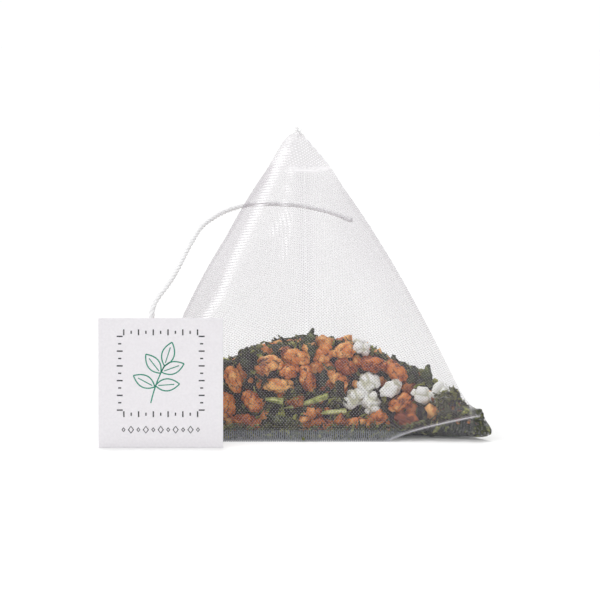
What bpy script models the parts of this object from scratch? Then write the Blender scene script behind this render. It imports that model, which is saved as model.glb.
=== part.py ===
"""A tetrahedral tea bag of woven mesh, filled with green tea and roasted rice, with its string and tag.

Metres, +Z up. The origin is the middle of the flat base, on the surface that the bag stands on. The
bag is a tube of woven film, sealed across the front base edge and, turned a quarter, up the back edge.
"""

import math

import bmesh
import bpy
from mathutils import Matrix, Vector
from mathutils.bvhtree import BVHTree

MM = 0.001

# The mesh bag
BAG_EDGE = 60 * MM  # each edge of the base, so the tube is 2 of these round
HEIGHT_SHARE = 0.837  # the apex's height, as a share of the edge
WALL = 0.18 * MM
FOLD_RADII = (2.2 * MM, 2.2 * MM, 2.2 * MM, 4.0 * MM)  # after the front, right, bottom and left walls
FOLD_SHARE = 0.42  # the folds grow sharper near the seals, as this share of the tube's half width
SEAL_WIDTH = 0.8 * MM  # the welded strip beyond each end of the tube
SEAL_THICKNESS = 0.44 * MM
WALL_PUFF = 0.045  # a wall's bulge, as a share of its width
RIDGE = 0.10 * MM  # how far every other cross thread stands proud
SEAM_RAISE = 0.14 * MM  # the second layer of film along the lap seam
APEX_SHIFT = -0.7 * MM  # the apex leans to the left
SWELL_RIGHT = 3.1 * MM  # how far the bag swells out beyond its straight edges, below the apex
SWELL_LEFT = 5.0 * MM
SWELL_POWER = 1.5
SWELL_MOST = 1.2
TIP_LENGTH = 6.5 * MM  # the end of the apex, which bends back
TIP_BACK = 0.15
TIP_LEFT = 0.165
CORNER_LIFT_RIGHT = 4.8 * MM  # the front seal's right end stands off the table
CORNER_LIFT_LEFT = 1.6 * MM
CORNER_LIFT_FROM = 0.42  # the share of half an edge where the lift starts
CORNER_LIFT_REACH = 0.075  # how soon it fades along the tube
CORNER_TUCK = 1.6 * MM  # how far that end is drawn in
CORNER_TUCK_REACH = 0.05
CORNER_BELLY = (4.0 * MM, -6.5 * MM)  # the film below it hangs to the right and forward to the table
CORNER_BELLY_AT = 0.08
CORNER_BELLY_HEIGHT = 3.0 * MM
TUBE_ROWS = 26
SIDE_COLUMNS = 6
FOLD_COLUMNS = 3
GAP_ROWS = range(3, 23, 2)
GAP_COLUMNS = (1, 3, 5)
GAP_SHARE = 0.34  # a gap's side, as a share of the cell that it opens

# The tea. Its places and sizes are laid out for a 60 mm edge, in millimetres, and TEA scales them.
CLEARANCE = 0.3 * MM  # between any two pieces
TEA = BAG_EDGE / 60
SEAT_GAP = 0.4 * MM  # from a grain to the leaf bed, along the slanting way it slides
SEAT_STEP = 0.1 * MM
SEAT_REACH = 6 * TEA  # the part of the bed that a grain can touch
GRAIN_DEPTH = 0.95 * TEA  # from the wall's flat plane to a grain's outer face
BED_TOP = 13.4 * TEA
BED_PEAK = 1.0  # the heap's highest place is to the right of the middle
BED_SLOPE = 0.019  # how fast the heap falls to both sides
BED_BACK_SLOPE = 0.12  # the tea is heaped against the front wall, and falls to the back
BED_LUMP = 0.7
BED_COLUMNS = 96
BED_ROWS = 11
BED_TOP_ROWS = 9
BED_FROM_GRAIN = 1.1 * TEA
BED_FROM_WALL = 0.55 * MM
GRAIN_THICKNESS = 2.1 * TEA
GRAIN_WIDTH = 2.3 * TEA
PUFF_THICKNESS = 2.3 * TEA
STEM_DIAMETER = 0.8 * TEA
FLAKE_THICKNESS = 0.35 * TEA
FLAKE_WIDTH = 1.5 * TEA

# The tag
TAG_WIDTH = 20.1 * MM
TAG_HEIGHT = 20.9 * MM
TAG_THICKNESS = 0.35 * MM
TAG_MIDDLE_X = -23.8 * MM
TAG_FRONT_Y = -23.5 * MM
TAG_LEAN = math.radians(6)

# The string
STRING_DIAMETER = 0.8 * MM
STRING_POINT_SPACING = 2.3 * STRING_DIAMETER
STRING_GLUED = 11 * MM  # the length stuck down the tag's back
STRING_AT = -1.5 * MM  # from the tag's middle

HEIGHT = BAG_EDGE * HEIGHT_SHARE
INRADIUS = BAG_EDGE / (2 * math.sqrt(3))
FACE_SLOPE = INRADIUS / HEIGHT

LEFT = Vector((-BAG_EDGE / 2, -INRADIUS, 0))
RIGHT = Vector((BAG_EDGE / 2, -INRADIUS, 0))
BACK = Vector((0, 2 * INRADIUS, 0))
APEX = Vector((0, 0, HEIGHT))
SEAL_AXIS = (APEX - BACK).normalized()
SEAL_HALF = (APEX - BACK).length / 2
TUBE_START = (LEFT + RIGHT) / 2
TUBE_END = (APEX + BACK) / 2
TUBE_AXIS = (TUBE_END - TUBE_START).normalized()


def make_material(name, colour, roughness, alpha=1.0):
    material = bpy.data.materials.new(name)
    material.use_nodes = True
    shader = material.node_tree.nodes["Principled BSDF"]
    shader.inputs["Base Color"].default_value = (*colour, 1)
    shader.inputs["Roughness"].default_value = roughness
    shader.inputs["Alpha"].default_value = alpha
    return material


def add_object(name, mesh, material):
    piece = bpy.data.objects.new(name, mesh)
    mesh.materials.append(material)
    bpy.context.scene.collection.objects.link(piece)
    return piece


def mesh_from(name, bm, smooth=True):
    bmesh.ops.recalc_face_normals(bm, faces=bm.faces[:])
    mesh = bpy.data.meshes.new(name)
    bm.to_mesh(mesh)
    bm.free()
    if smooth:
        mesh.shade_smooth()
        mesh.set_sharp_from_angle(angle=math.radians(50))
    return mesh


def lean(point):
    """Moves a point of the upright tetrahedron to where the real, leaning and swollen bag has it."""
    rise = min(max(point.z / HEIGHT, 0), 1)
    out = min(abs(point.x) / max(BAG_EDGE / 2 * (1 - rise), WALL), SWELL_MOST)
    swell = (SWELL_RIGHT if point.x > 0 else -SWELL_LEFT) * 4 * rise**SWELL_POWER * (1 - rise)
    above_tip = max(0, point.z - (HEIGHT - TIP_LENGTH))
    moved = point.copy()
    moved.x += APEX_SHIFT * point.z / HEIGHT + swell * out - TIP_LEFT * above_tip
    moved.y += TIP_BACK * above_tip
    return moved


def corner_lift(x, along):
    """How far the front seal stands off the table, which is most at its right end."""
    start = CORNER_LIFT_FROM * BAG_EDGE / 2
    share = max(0, (abs(x) - start) / (BAG_EDGE / 2 - start))
    most = CORNER_LIFT_RIGHT if x > 0 else CORNER_LIFT_LEFT
    return most * share**1.3 * math.exp(-((max(along, 0) / CORNER_LIFT_REACH) ** 2))


def shape_corner(point, along):
    """Draws in the lifted end of the front seal and lets the film below it hang forward to the table."""
    past = max(along, 0)
    share = min(max(point.x, 0) / (BAG_EDGE / 2 * (1 - 0.8 * min(past, 1))), 1.1) ** 3
    tuck = CORNER_TUCK * math.exp(-((past / CORNER_TUCK_REACH) ** 2))
    belly = (past / CORNER_BELLY_AT * math.exp(1 - past / CORNER_BELLY_AT)) ** 1.5
    belly *= math.exp(-((point.z / CORNER_BELLY_HEIGHT) ** 2))
    push_x, push_y = CORNER_BELLY
    return point + share * Vector((push_x * belly - tuck, push_y * belly, 0))


def section(along, inward, raised):
    """One ring of the tube, as (across, up) pairs: a rounded box that turns from flat to upright.

    along is 0 at the front seal and 1 at the back one. inward is the distance inside the outer face,
    and raised lifts the ring outwards, as a thread does.
    """
    least = SEAL_THICKNESS / 2
    inside = min(max(along, 0), 1)
    half_across = max((1 - inside) * BAG_EDGE / 2, least) - inward
    half_up = max(inside * SEAL_HALF, least) - inward
    radii = [min(radius - inward, FOLD_SHARE * half_across, FOLD_SHARE * half_up) for radius in FOLD_RADII]
    fade = min(1, inside / 0.15, (1 - inside) / 0.15)
    sides = (
        (0, 1, half_across, half_up),
        (1, 0, half_up, half_across),
        (0, -1, half_across, half_up),
        (-1, 0, half_up, half_across),
    )
    ring = []
    for wall, (out_across, out_up, half_length, half_depth) in enumerate(sides):
        along_across, along_up = out_up, -out_across
        before, after = radii[wall - 1], radii[wall]
        puff = WALL_PUFF * 2 * half_length * fade + raised
        for step in range(SIDE_COLUMNS + 1):
            share = 2 * step / SIDE_COLUMNS - 1
            run = before - half_length + (2 * half_length - before - after) * step / SIDE_COLUMNS
            reach = half_depth + puff * (1 - share * share)
            ring.append((along_across * run + out_across * reach, along_up * run + out_up * reach))
        for step in range(1, FOLD_COLUMNS):
            turn = math.radians(90 * step / FOLD_COLUMNS)
            run = half_length - after + after * math.sin(turn)
            reach = half_depth - after + after * math.cos(turn)
            ring.append((along_across * run + out_across * reach, along_up * run + out_up * reach))
    return ring


def wall_ring(along, row, inward=0.0):
    """The points of one ring of the bag's wall. Inward is 0 on the outer face and WALL on the inner."""
    raised = RIDGE * (row % 2) * min(1, 10 * along, 10 * (1 - along)) if 0 < along < 1 else 0
    seam_from = 2 * (SIDE_COLUMNS + FOLD_COLUMNS) + SIDE_COLUMNS // 2
    depth = inward / TUBE_AXIS.cross(Vector((1, 0, 0))).length
    points = []
    for column, (across, up) in enumerate(section(along, depth, raised)):
        if inward > 0 and column in (seam_from, seam_from + 1):
            up += SEAM_RAISE
        centre = TUBE_START.lerp(TUBE_END, along)
        point = centre + Vector((across, 0, 0)) + SEAL_AXIS * up
        point.z += corner_lift(point.x, along)
        point = lean(shape_corner(point, along))
        point.z = max(point.z, inward)
        points.append(point)
    return points


def stitch_rows(bm, lower, upper, skipped):
    """Faces between two rings. skipped holds the columns that a gap opens."""
    count = len(lower)
    for column in range(count):
        after = (column + 1) % count
        if column not in skipped:
            bm.faces.new((lower[column], lower[after], upper[after], upper[column]))


def open_gap(bm, outer_cell, inner_cell):
    """A small four-sided gap through the wall in the middle of one cell of the weave."""
    rims = []
    for cell in (outer_cell, inner_cell):
        middle = sum((vertex.co for vertex in cell), Vector()) / 4
        rim = [bm.verts.new(middle.lerp(vertex.co, GAP_SHARE)) for vertex in cell]
        for corner in range(4):
            after = (corner + 1) % 4
            bm.faces.new((cell[corner], cell[after], rim[after], rim[corner]))
        rims.append(rim)
    for corner in range(4):
        after = (corner + 1) % 4
        bm.faces.new((rims[0][corner], rims[0][after], rims[1][after], rims[1][corner]))


def gap_columns():
    """The columns of the ring where the wall's gaps lie: some on each of the four walls."""
    side = SIDE_COLUMNS + FOLD_COLUMNS
    return {wall * side + column for wall in range(4) for column in GAP_COLUMNS}


def add_mesh_bag():
    bm = bmesh.new()
    columns = gap_columns()
    seal_share = SEAL_WIDTH / (TUBE_END - TUBE_START).length
    outer = [wall_ring(row / TUBE_ROWS, row) for row in range(TUBE_ROWS + 1)]
    outer = [wall_ring(-seal_share, 0)] + outer + [wall_ring(1 + seal_share, 0)]
    inner = [wall_ring(row / TUBE_ROWS, row, WALL) for row in range(1, TUBE_ROWS)]
    outer = [[bm.verts.new(point) for point in ring] for ring in outer]
    inner = [[bm.verts.new(point) for point in ring] for ring in inner]
    for row in range(len(outer) - 1):
        # outer[row + 1] is the ring that row counts, because the seal's edge comes first
        skipped = columns if row - 1 in GAP_ROWS else ()
        stitch_rows(bm, outer[row], outer[row + 1], skipped)
    for row in range(len(inner) - 1):
        skipped = columns if row + 1 in GAP_ROWS else ()
        stitch_rows(bm, inner[row], inner[row + 1], skipped)
    for row in GAP_ROWS:
        for column in sorted(columns):
            cells = []
            for lower, upper in ((outer[row + 1], outer[row + 2]), (inner[row - 1], inner[row])):
                after = (column + 1) % len(lower)
                cells.append((lower[column], lower[after], upper[after], upper[column]))
            open_gap(bm, *cells)
    for ring in (outer[0], outer[-1], inner[0], inner[-1]):
        bm.faces.new(ring)
    bmesh.ops.triangulate(bm, faces=[face for face in bm.faces if len(face.verts) > 4])
    tree = BVHTree.FromBMesh(bm)
    material = make_material("woven_mesh", (0.82, 0.81, 0.83), 0.35, 0.35)
    add_object("mesh_bag", mesh_from("mesh_bag", bm), material)
    return tree


def face_turn(face):
    """The turn about Z from the front wall to another: 0 front, 1 right back, 2 left back."""
    return Matrix.Rotation(math.radians(120 * face), 4, "Z")


def reach_at(angle, height):
    """How far from the axis the tetrahedron's walls are at a height."""
    nearest = max(math.cos(angle - math.radians(-90 + 120 * face)) for face in range(3))
    return INRADIUS * (1 - height / HEIGHT) / nearest


def heap_height(x, y):
    x, y = x / TEA, y / TEA
    lumps = math.sin(x * 0.64 + 1.3) * math.cos(y * 0.56 - 0.4) + 0.5 * math.sin(x * 1.25 + y * 0.9)
    fall = BED_SLOPE * (x - BED_PEAK) ** 2 + BED_BACK_SLOPE * y
    return BED_TOP + TEA * (BED_LUMP * lumps - fall)


def bed_target(step, row):
    """Where the leaf bed would reach if it filled the bag up to the heap's top."""
    angle = 2 * math.pi * step / BED_COLUMNS
    level = min(row / BED_ROWS, 1)
    share = 1 - max(row - BED_ROWS, 0) / (BED_TOP_ROWS + 1)
    height = 0
    for _ in range(4):
        reach = reach_at(angle, height) * share
        x, y = reach * math.cos(angle), reach * math.sin(angle)
        height = level * heap_height(x, y)
    return lean(Vector((x, y, height)))


def grow_towards(start, target, walls, grains):
    """Goes from the middle of the bed towards a target, and stops short of the walls and the grains."""
    way = target - start
    most = way.length
    way.normalize()
    gone = 0
    for _ in range(60):
        point = start + way * gone
        from_wall = walls.find_nearest(point)[3] - BED_FROM_WALL
        from_grain = grains.find_nearest(point)[3] - BED_FROM_GRAIN
        step = min(from_wall, from_grain, most - gone)
        if step < 0.02 * MM:
            break
        gone += step
    return start + way * gone


def joined_tree(pieces):
    """One search tree over the faces of all the pieces."""
    points, faces = [], []
    for _, bm, _ in pieces:
        bm.verts.index_update()
        faces += [[vertex.index + len(points) for vertex in face.verts] for face in bm.faces]
        points += [vertex.co.copy() for vertex in bm.verts]
    return BVHTree.FromPolygons(points, faces)


def add_leaf_bed(walls, pieces):
    """The mass of leaves, which fills the bag between the grains up to the heap's top."""
    bm = bmesh.new()
    middle = Vector((0, 0, BED_TOP / 3))
    grains = joined_tree(pieces)
    rows = []
    for row in range(BED_ROWS + BED_TOP_ROWS + 1):
        targets = [bed_target(step, row) for step in range(BED_COLUMNS)]
        rows.append([bm.verts.new(grow_towards(middle, target, walls, grains)) for target in targets])
    for lower, upper in zip(rows, rows[1:]):
        stitch_rows(bm, lower, upper, ())
    for ring, target in ((rows[0], Vector()), (rows[-1], Vector((0, 0, heap_height(0, 0))))):
        centre = bm.verts.new(grow_towards(middle, target, walls, grains))
        for step in range(BED_COLUMNS):
            bm.faces.new((ring[step - 1], ring[step], centre))
    bmesh.ops.triangulate(bm, faces=bm.faces[:])
    bed = BVHTree.FromBMesh(bm), [vertex.co.copy() for vertex in bm.verts]
    material = make_material("green_tea", (0.07, 0.09, 0.045), 0.8)
    add_object("leaf_bed", mesh_from("leaf_bed", bm, smooth=False), material)
    return bed


def place_on_wall(face, x, height, thickness, turn):
    """Where a flat piece lies behind a wall, turned in the wall's plane."""
    depth = GRAIN_DEPTH + thickness / 2
    tilt = math.atan(FACE_SLOPE)
    y = -INRADIUS + height * FACE_SLOPE + depth * math.cos(tilt)
    place = Matrix.Translation((x, y, height)) @ Matrix.Rotation(-tilt, 4, "X")
    return face_turn(face) @ place @ Matrix.Rotation(turn, 4, "Y")


def place_on_heap(x, y, thickness, turn):
    """Where a flat piece lies on top of the heap."""
    height = heap_height(x, y) + thickness / 2
    lie = Matrix.Rotation(math.radians(90), 4, "X")
    return Matrix.Translation((x, y, height)) @ lie @ Matrix.Rotation(turn, 4, "Y")


def put(bm, place):
    """Moves a piece to its place in the leaning bag."""
    bmesh.ops.transform(bm, matrix=place, verts=bm.verts[:])
    shift = lean(place.translation) - place.translation
    bmesh.ops.translate(bm, vec=shift, verts=bm.verts[:])


def seat(bm, bed):
    """Slides a piece towards the middle of the leaf bed until it lies on it."""
    bed_tree, bed_points = bed
    piece_tree = BVHTree.FromBMesh(bm)
    points = [vertex.co.copy() for vertex in bm.verts]
    centre = sum(points, Vector()) / len(points)
    near_points = [point for point in bed_points if (point - centre).length < SEAT_REACH]
    inwards = (Vector((0, 0, BED_TOP / 3)) - centre).normalized()
    hits = [bed_tree.ray_cast(point, inwards) for point in points]
    hits += [piece_tree.ray_cast(point, -inwards) for point in near_points]
    slide = max(min(distance for _, _, _, distance in hits if distance is not None) - SEAT_GAP, 0)
    while slide > 0:
        shift = inwards * slide
        gap = min(bed_tree.find_nearest(point + shift)[3] for point in points)
        if min(gap, min(piece_tree.find_nearest(point - shift)[3] for point in near_points)) > CLEARANCE:
            break
        slide = max(slide - SEAT_STEP, 0)
    bmesh.ops.translate(bm, vec=inwards * slide, verts=bm.verts[:])


def blob(size, bumps, place):
    """A grain or a puffed grain: a ball drawn out to its length, thickness and width, with bumps."""
    bm = bmesh.new()
    bmesh.ops.create_icosphere(bm, subdivisions=2, radius=0.5)
    for vertex in bm.verts:
        way = vertex.co.normalized()
        swell = math.sin(way.x * 5.1 + way.z * 3.7) * math.cos(way.y * 4.3 - way.z * 2.9)
        vertex.co = Matrix.Diagonal(size) @ (way * (0.5 - 0.25 * bumps * (1 - swell)))
    put(bm, place)
    return bm


def stem(length, place):
    """A short round piece of stem, a little thinner at one end."""
    bm = bmesh.new()
    turn = Matrix.Rotation(math.radians(90), 4, "Y")
    bmesh.ops.create_cone(
        bm,
        cap_ends=True,
        segments=8,
        radius1=STEM_DIAMETER / 2,
        radius2=STEM_DIAMETER * 0.35,
        depth=length,
        matrix=turn,
    )
    put(bm, place)
    return bm


def flake(length, place):
    """A torn piece of leaf: a bent spindle of even thickness."""
    bm = bmesh.new()
    steps = 6
    rings = []
    for step in range(steps + 1):
        share = 2 * step / steps - 1
        half = FLAKE_WIDTH / 2 * (1 - 0.85 * share * share)
        x = share * length / 2
        z = 0.12 * length * (share * share - 0.5)
        corners = ((half, 0.5), (half, -0.5), (-half, -0.5), (-half, 0.5))
        rings.append([bm.verts.new((x, y * FLAKE_THICKNESS, z + w)) for w, y in corners])
    for lower, upper in zip(rings, rings[1:]):
        stitch_rows(bm, lower, upper, ())
    bm.faces.new(rings[0])
    bm.faces.new(rings[-1])
    put(bm, place)
    return bm


def roasted_rice():
    """Browned grains behind the front wall, behind the two back walls and on top of the heap."""
    material = make_material("roasted_rice", (0.62, 0.27, 0.09), 0.6)
    # Each is the wall, the place along it, the height, the turn in degrees and the grain's length
    behind_walls = (
        (0, -15.4, 10.2, 20, 4.0), (0, -11.6, 9.4, 70, 4.2), (0, -6.0, 12.2, 10, 4.0), (0, -1.6, 13.2, 15, 4.0),
        (0, -3.0, 10.9, -30, 3.2), (0, 0.0, 9.7, 75, 4.2), (0, -4.8, 8.5, 5, 4.8), (0, 2.7, 13.6, -60, 3.8),
        (0, 6.0, 14.2, -10, 3.4), (0, 6.2, 11.6, 30, 3.2), (0, 5.2, 9.2, 40, 3.0), (0, 10.6, 12.0, 8, 5.0),
        (0, 14.6, 10.6, 35, 3.6), (0, 15.4, 5.7, -30, 3.8), (0, 16.8, 2.8, 20, 4.0), (0, 12.4, 2.8, 60, 3.4),
        (0, 1.8, 2.0, 10, 4.0), (0, 8.2, 2.0, -10, 4.2), (0, 24.2, 4.4, -50, 3.2), (0, -9.2, 5.9, 50, 4.0),
        (0, -10.4, 2.4, 15, 4.8), (0, -13.4, 5.3, 80, 4.0),
        (1, -3.0, 8.6, -25, 4.2), (1, 6.0, 4.4, 70, 3.6), (1, 12.5, 6.6, 5, 4.0),
        (2, -11.0, 6.4, -40, 4.0), (2, -2.0, 4.6, 15, 4.2), (2, 5.5, 9.0, 50, 3.8),
    )
    on_heap = ((-6.0, 1.0, 30, 4.0), (1.0, 6.0, -20, 4.2), (5.5, -2.5, 70, 3.8))
    places = [
        (place_on_wall(face, x * TEA, z * TEA, GRAIN_THICKNESS, math.radians(turn)), length)
        for face, x, z, turn, length in behind_walls
    ]
    places += [
        (place_on_heap(x * TEA, y * TEA, GRAIN_THICKNESS, math.radians(turn)), length)
        for x, y, turn, length in on_heap
    ]
    pieces = []
    for number, (place, length) in enumerate(places, 1):
        size = (length * TEA, GRAIN_THICKNESS, GRAIN_WIDTH)
        pieces.append((f"roasted_rice_{number}", blob(size, 0.12, place), material))
    return pieces


def popped_rice():
    """Burst white grains, in two groups to the right of the middle."""
    material = make_material("popped_rice", (0.86, 0.84, 0.76), 0.7)
    # Each is the wall, the place along it, the height, the turn in degrees, the length and the width
    rows = (
        (0, 10.0, 9.0, 60, 3.2, 3.0), (0, 7.8, 6.5, -40, 3.4, 2.6), (0, 8.9, 14.5, 0, 2.2, 1.6),
        (0, 18.6, 6.8, 20, 3.2, 2.4), (0, 21.6, 6.9, 85, 3.4, 2.4), (0, 10.8, 5.6, 80, 3.2, 2.4),
        (0, 13.4, 8.0, -30, 3.4, 2.2), (1, 1.5, 12.0, -20, 4.0, 3.2), (2, -7.0, 10.6, 35, 4.2, 3.2),
    )
    pieces = []
    for number, (face, x, z, turn, length, width) in enumerate(rows, 1):
        place = place_on_wall(face, x * TEA, z * TEA, PUFF_THICKNESS, math.radians(turn))
        size = (length * TEA, PUFF_THICKNESS, width * TEA)
        pieces.append((f"popped_rice_{number}", blob(size, 0.3, place), material))
    return pieces


def stems():
    material = make_material("tea_stem", (0.52, 0.55, 0.26), 0.6)
    # Each is the wall, the place along its middle, the height, the turn in degrees and the length
    rows = ((0, 0.2, 6.0, -18, 6.8), (0, 4.4, 4.2, -4, 4.2), (0, -5.6, 6.2, 8, 3.0), (1, -5.0, 3.2, 12, 7.0))
    pieces = []
    for number, (face, x, z, turn, length) in enumerate(rows, 1):
        place = place_on_wall(face, x * TEA, z * TEA, STEM_DIAMETER, math.radians(turn))
        pieces.append((f"tea_stem_{number}", stem(length * TEA, place), material))
    return pieces


def flakes():
    material = make_material("leaf_flake", (0.10, 0.13, 0.05), 0.75)
    # Each is the wall, the place along it, the height, the turn in degrees and the length
    rows = (
        (0, -9.4, 12.6, 80, 4.2), (0, -16.8, 2.4, 0, 4.4), (0, -4.0, 2.9, 10, 4.6), (0, 2.9, 9.5, 80, 3.2),
        (0, 0.7, 15.9, 90, 4.0), (0, 18.3, 10.4, -60, 3.4), (0, 20.9, 10.3, 80, 3.4), (0, -17.6, 5.6, 40, 4.2),
        (1, -14.0, 7.4, 20, 5.0), (1, 10.0, 11.0, -35, 5.0), (2, -6.0, 2.0, 5, 5.0), (2, 9.0, 5.0, 60, 5.0),
    )
    pieces = []
    for number, (face, x, z, turn, length) in enumerate(rows, 1):
        place = place_on_wall(face, x * TEA, z * TEA, FLAKE_THICKNESS, math.radians(turn))
        pieces.append((f"leaf_flake_{number}", flake(length * TEA, place), material))
    return pieces


def add_tea(walls):
    """The bed and the pieces that lie in it."""
    pieces = roasted_rice() + popped_rice() + stems() + flakes()
    bed = add_leaf_bed(walls, pieces)
    for name, bm, material in pieces:
        seat(bm, bed)
        add_object(name, mesh_from(name, bm), material)


def tag_place():
    """The tag's middle and lean: its lower front edge lies on the table."""
    stand = Matrix.Translation((TAG_MIDDLE_X, TAG_FRONT_Y, 0)) @ Matrix.Rotation(-TAG_LEAN, 4, "X")
    lift = TAG_THICKNESS * math.sin(TAG_LEAN)
    return Matrix.Translation((0, 0, lift)) @ stand


def add_tag():
    bm = bmesh.new()
    bmesh.ops.create_cube(bm, size=1)
    bmesh.ops.scale(bm, vec=(TAG_WIDTH, TAG_THICKNESS, TAG_HEIGHT), verts=bm.verts[:])
    bmesh.ops.translate(bm, vec=(0, TAG_THICKNESS / 2, TAG_HEIGHT / 2), verts=bm.verts[:])
    bmesh.ops.transform(bm, matrix=tag_place(), verts=bm.verts[:])
    material = make_material("tag_paper", (0.86, 0.86, 0.87), 0.85)
    add_object("tag", mesh_from("tag", bm, smooth=False), material)


def string_route():
    """The string's middle line: up the tag's back, over to the bag and round behind its apex."""
    off_tag = TAG_THICKNESS + CLEARANCE + STRING_DIAMETER / 2
    glued = [TAG_HEIGHT - STRING_GLUED * share for share in (1, 0.66, 0.33, 0.06)]
    route = [tag_place() @ Vector((STRING_AT, off_tag, height)) for height in glued]
    free = (
        (-24.9, -19.2, 22.9), (-22.4, -15.0, 26.3), (-20.8, -11.0, 29.1), (-19.3, -7.0, 31.9),
        (-17.6, -2.6, 34.1), (-14.6, 1.8, 35.8), (-10.9, 6.0, 36.7), (-7.2, 9.3, 36.7),
        (-4.1, 11.6, 36.4), (-1.1, 12.6, 36.1), (2.8, 9.2, 35.6), (5.3, 6.5, 35.0), (7.4, 4.2, 34.3),
    )
    return route + [Vector(point) * MM for point in free]


def smooth_route(route, spacing):
    """Points at even spacing along a smooth curve through the route."""
    dense = []
    for index in range(len(route) - 1):
        before = route[max(index - 1, 0)]
        start, end = route[index], route[index + 1]
        after = route[min(index + 2, len(route) - 1)]
        for step in range(20):
            t = step / 20
            line = 2 * start + (end - before) * t + (2 * before - 5 * start + 4 * end - after) * t**2
            dense.append((line + (3 * start - before - 3 * end + after) * t**3) / 2)
    dense.append(route[-1])
    lengths = [0.0]
    for start, end in zip(dense, dense[1:]):
        lengths.append(lengths[-1] + (end - start).length)
    count = max(2, round(lengths[-1] / spacing))
    points = []
    index = 0
    for step in range(count + 1):
        target = lengths[-1] * step / count
        while index < len(dense) - 2 and lengths[index + 1] < target:
            index += 1
        share = (target - lengths[index]) / (lengths[index + 1] - lengths[index])
        points.append(dense[index].lerp(dense[index + 1], share))
    return points


def add_string():
    points = smooth_route(string_route(), STRING_POINT_SPACING)
    curve = bpy.data.curves.new("string", "CURVE")
    curve.dimensions = "3D"
    curve.bevel_depth = STRING_DIAMETER / 2
    curve.bevel_resolution = 2
    curve.use_fill_caps = True
    line = curve.splines.new("POLY")
    line.points.add(len(points) - 1)
    for point, place in zip(line.points, points):
        point.co = (*place, 1)
    string = bpy.data.objects.new("string", curve)
    curve.materials.append(make_material("cotton_string", (0.88, 0.88, 0.87), 0.9))
    bpy.context.scene.collection.objects.link(string)


def build():
    for old in list(bpy.data.objects):
        bpy.data.objects.remove(old)
    add_tea(add_mesh_bag())
    add_tag()
    add_string()


build()
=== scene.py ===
"""Dresses the pyramid tea bag: sheer woven mesh, green tea with roasted and popped rice, string and tag."""

import math
import random
from contextlib import contextmanager
from functools import reduce

import bmesh
import bpy
import numpy as np
from mathutils import Matrix, Vector, noise
from mathutils.bvhtree import BVHTree


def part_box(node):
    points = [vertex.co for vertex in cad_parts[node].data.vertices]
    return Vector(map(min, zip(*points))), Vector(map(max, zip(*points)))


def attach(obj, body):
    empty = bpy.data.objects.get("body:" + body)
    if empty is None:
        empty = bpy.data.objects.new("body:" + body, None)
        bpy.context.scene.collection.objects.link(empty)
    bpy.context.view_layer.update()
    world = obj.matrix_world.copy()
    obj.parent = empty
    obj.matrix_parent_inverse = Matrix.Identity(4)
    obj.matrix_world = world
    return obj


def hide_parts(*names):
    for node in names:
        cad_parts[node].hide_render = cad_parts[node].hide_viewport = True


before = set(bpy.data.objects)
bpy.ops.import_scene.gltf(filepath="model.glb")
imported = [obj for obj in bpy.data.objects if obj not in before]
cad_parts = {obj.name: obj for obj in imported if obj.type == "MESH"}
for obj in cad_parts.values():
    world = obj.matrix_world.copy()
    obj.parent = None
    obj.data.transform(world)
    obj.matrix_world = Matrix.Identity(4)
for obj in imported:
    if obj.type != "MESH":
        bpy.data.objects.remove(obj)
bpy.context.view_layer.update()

MM = 0.001
noise.seed_set(1)  # without a seed of its own, noise_vector differs from run to run

# The bag's form, as the solid has it
BAG_EDGE = 60 * MM
HEIGHT = BAG_EDGE * 0.837
SEAL_WIDTH = 0.8 * MM
SEAL_HALF_GAP = 0.02 * MM  # half of the gap between the film's two layers in a seal
WALL_PUFF = 0.045
FOLD_SHARE = 0.42
FOLD_RADII = (2.2 * MM, 2.2 * MM, 2.2 * MM, 4.0 * MM)
APEX_SHIFT = -0.7 * MM
SWELL_RIGHT = 3.1 * MM
SWELL_LEFT = 5.0 * MM
SWELL_POWER = 1.5
SWELL_MOST = 1.2
LEFT_SHOULDER = 1.15 * MM
TIP_LENGTH = 6.5 * MM
TIP_BACK = 0.15
TIP_LEFT = 0.165
CORNER_LIFT_RIGHT = 4.8 * MM
CORNER_LIFT_LEFT = 1.6 * MM
CORNER_LIFT_FROM = 0.42
CORNER_LIFT_REACH = 0.075
CORNER_TUCK = 1.6 * MM
CORNER_TUCK_REACH = 0.05
CORNER_BELLY = (4.0 * MM, -6.5 * MM)
CORNER_BELLY_AT = 0.08
CORNER_BELLY_HEIGHT = 3.0 * MM

INRADIUS = BAG_EDGE / (2 * math.sqrt(3))
LEFT = Vector((-BAG_EDGE / 2, -INRADIUS, 0))
RIGHT = Vector((BAG_EDGE / 2, -INRADIUS, 0))
BACK = Vector((0, 2 * INRADIUS, 0))
APEX = Vector((0, 0, HEIGHT))
SEAL_AXIS = (APEX - BACK).normalized()
SEAL_HALF = (APEX - BACK).length / 2
TUBE_START = (LEFT + RIGHT) / 2
TUBE_END = (APEX + BACK) / 2

# The film
TUBE_ROUND = 2 * BAG_EDGE
LAP = 4 * MM
LAP_MIDDLE = TUBE_ROUND / 2  # round the tube from the middle of the front wall, so under the bag
FILM_WIDTH = TUBE_ROUND + LAP
FILM_LENGTH = math.hypot(INRADIUS, HEIGHT) + 2 * SEAL_WIDTH
FILM_COLUMNS = 186
FILM_ROWS = 96
LAP_RAISE = 0.12 * MM
THREAD_ENDS = 26  # at the apex
WARP_PITCH = 0.255 * MM
WEFT_PITCH = 0.255 * MM
RIB_PITCH = 0.34 * MM
DASH_PITCH = 0.48 * MM  # between the bright lines across a fold
FILM_SHADE = 0.086  # the share of the light behind it that the film takes away
THREAD_SHADE = 0.025
# the film is denser at every other thread crossing, where it is also painted bright as a glint
GLINT_SHADE = 0.25
TIP_SHADE = 0.2
FOLD_GLOW = 0.45
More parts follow.
